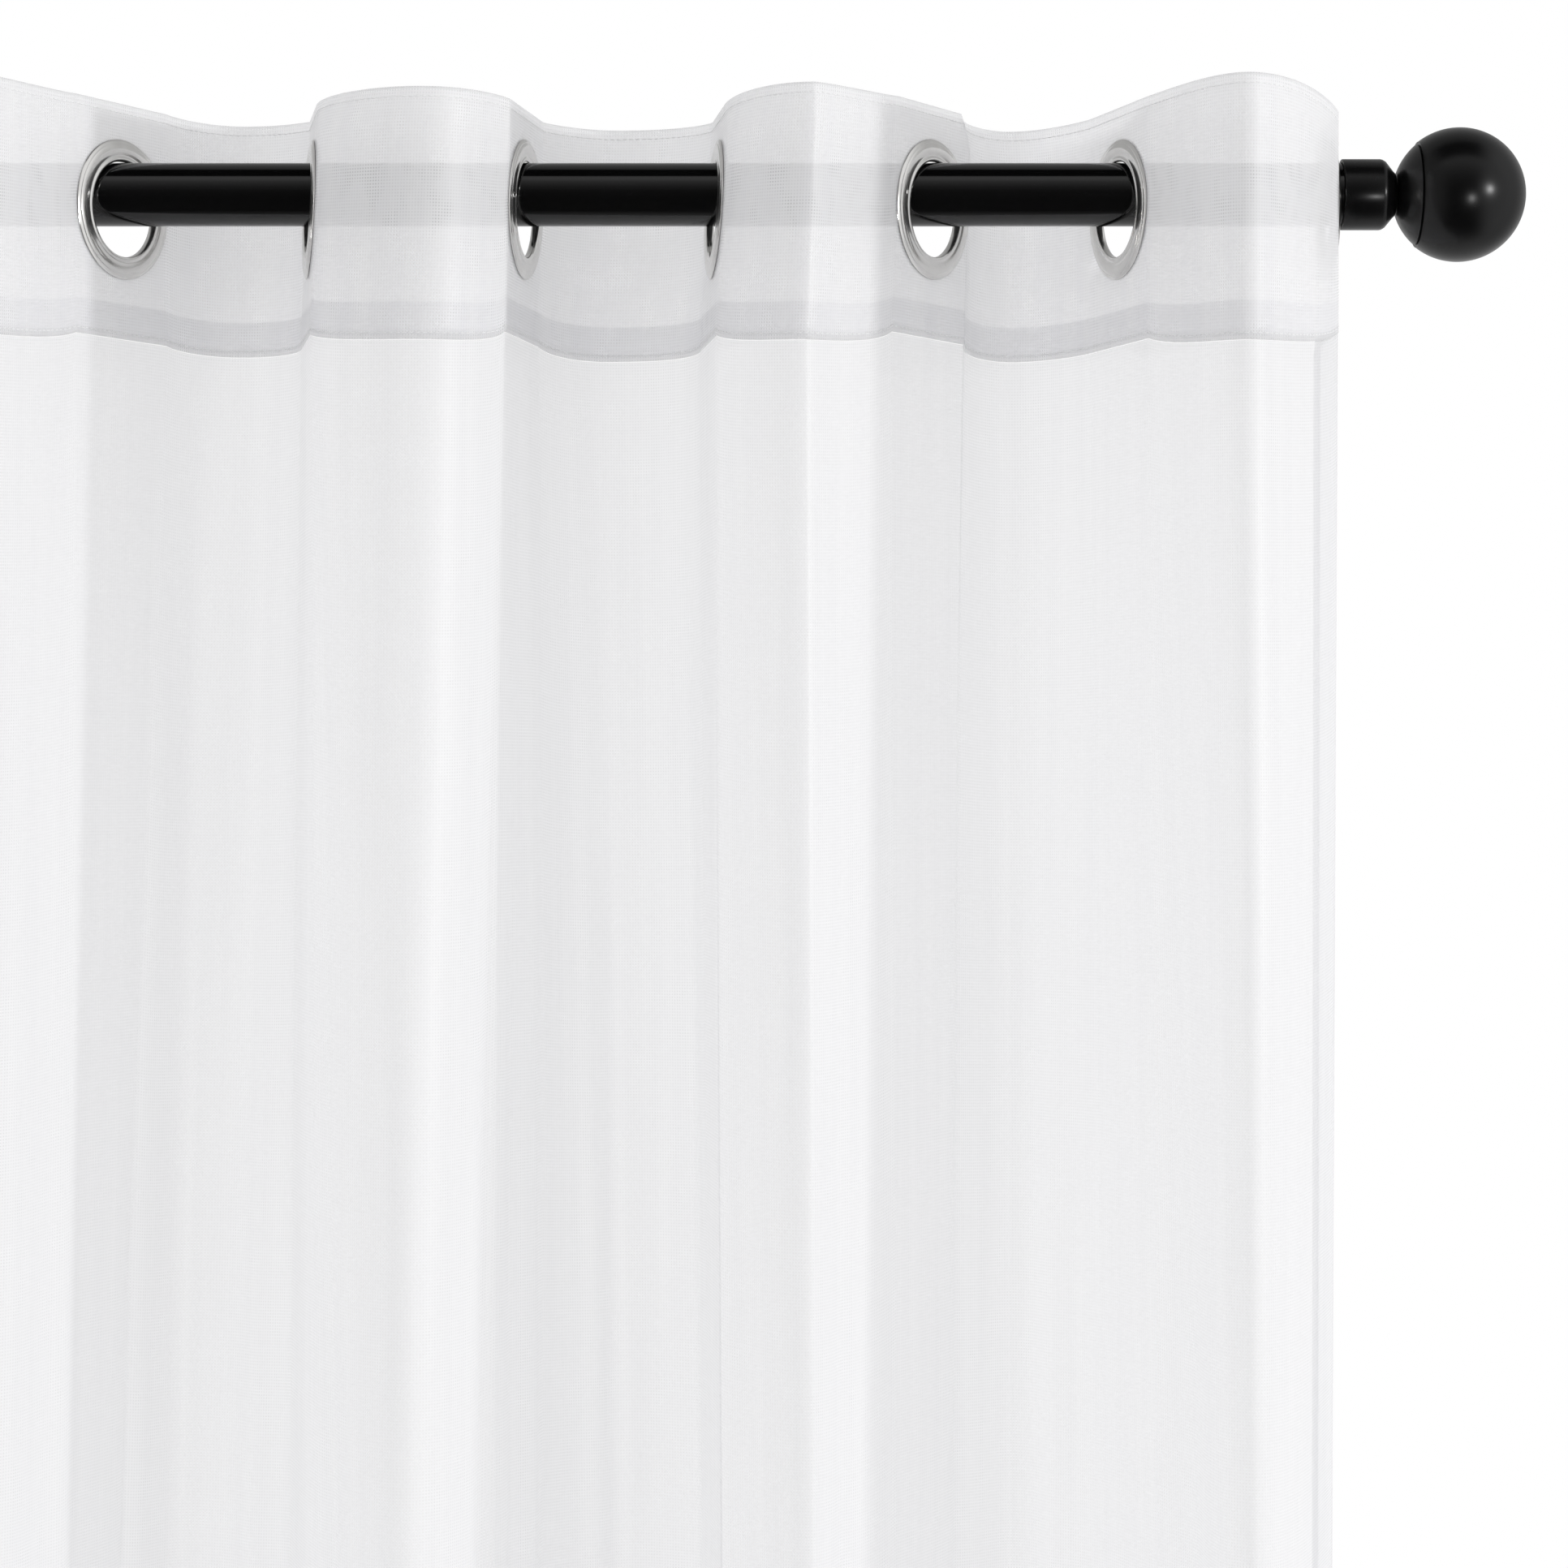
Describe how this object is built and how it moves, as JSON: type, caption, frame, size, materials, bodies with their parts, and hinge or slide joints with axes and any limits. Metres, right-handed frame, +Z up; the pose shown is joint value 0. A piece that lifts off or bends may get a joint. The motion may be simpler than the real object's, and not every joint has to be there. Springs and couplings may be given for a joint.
{
  "type": "sheer voile curtain on a rod",
  "caption": "Sheer voile curtain panel in soft uneven folds, hung by metal eyelets from a round rod with ball finials.",
  "frame": {"origin": "on the rod's axis, halfway along the rod, where the mount rod_middle is", "axes": "+X along the rod, +Z up, and the room side at -Y"},
  "size_m": [0.719, 0.1433, 2.1355],
  "materials": {
    "rod_black": "satin black powder coat",
    "eyelet_metal": "polished nickel",
    "heading_cloth": "doubled sheer voile, plain weave",
    "voile_cloth": "sheer voile, plain weave"
  },
  "bodies": {
    "root": {"rod": "rod_black", "collar_left": "rod_black", "collar_right": "rod_black", "finial_cap_left": "rod_black", "finial_cap_right": "rod_black", "finial_left": "rod_black", "finial_right": "rod_black", "eyelet_1": "eyelet_metal", "eyelet_2": "eyelet_metal", "eyelet_3": "eyelet_metal", "eyelet_4": "eyelet_metal", "eyelet_5": "eyelet_metal", "eyelet_6": "eyelet_metal", "eyelet_7": "eyelet_metal", "eyelet_8": "eyelet_metal", "heading": "heading_cloth", "voile": "voile_cloth"}
  },
  "joints": []
}
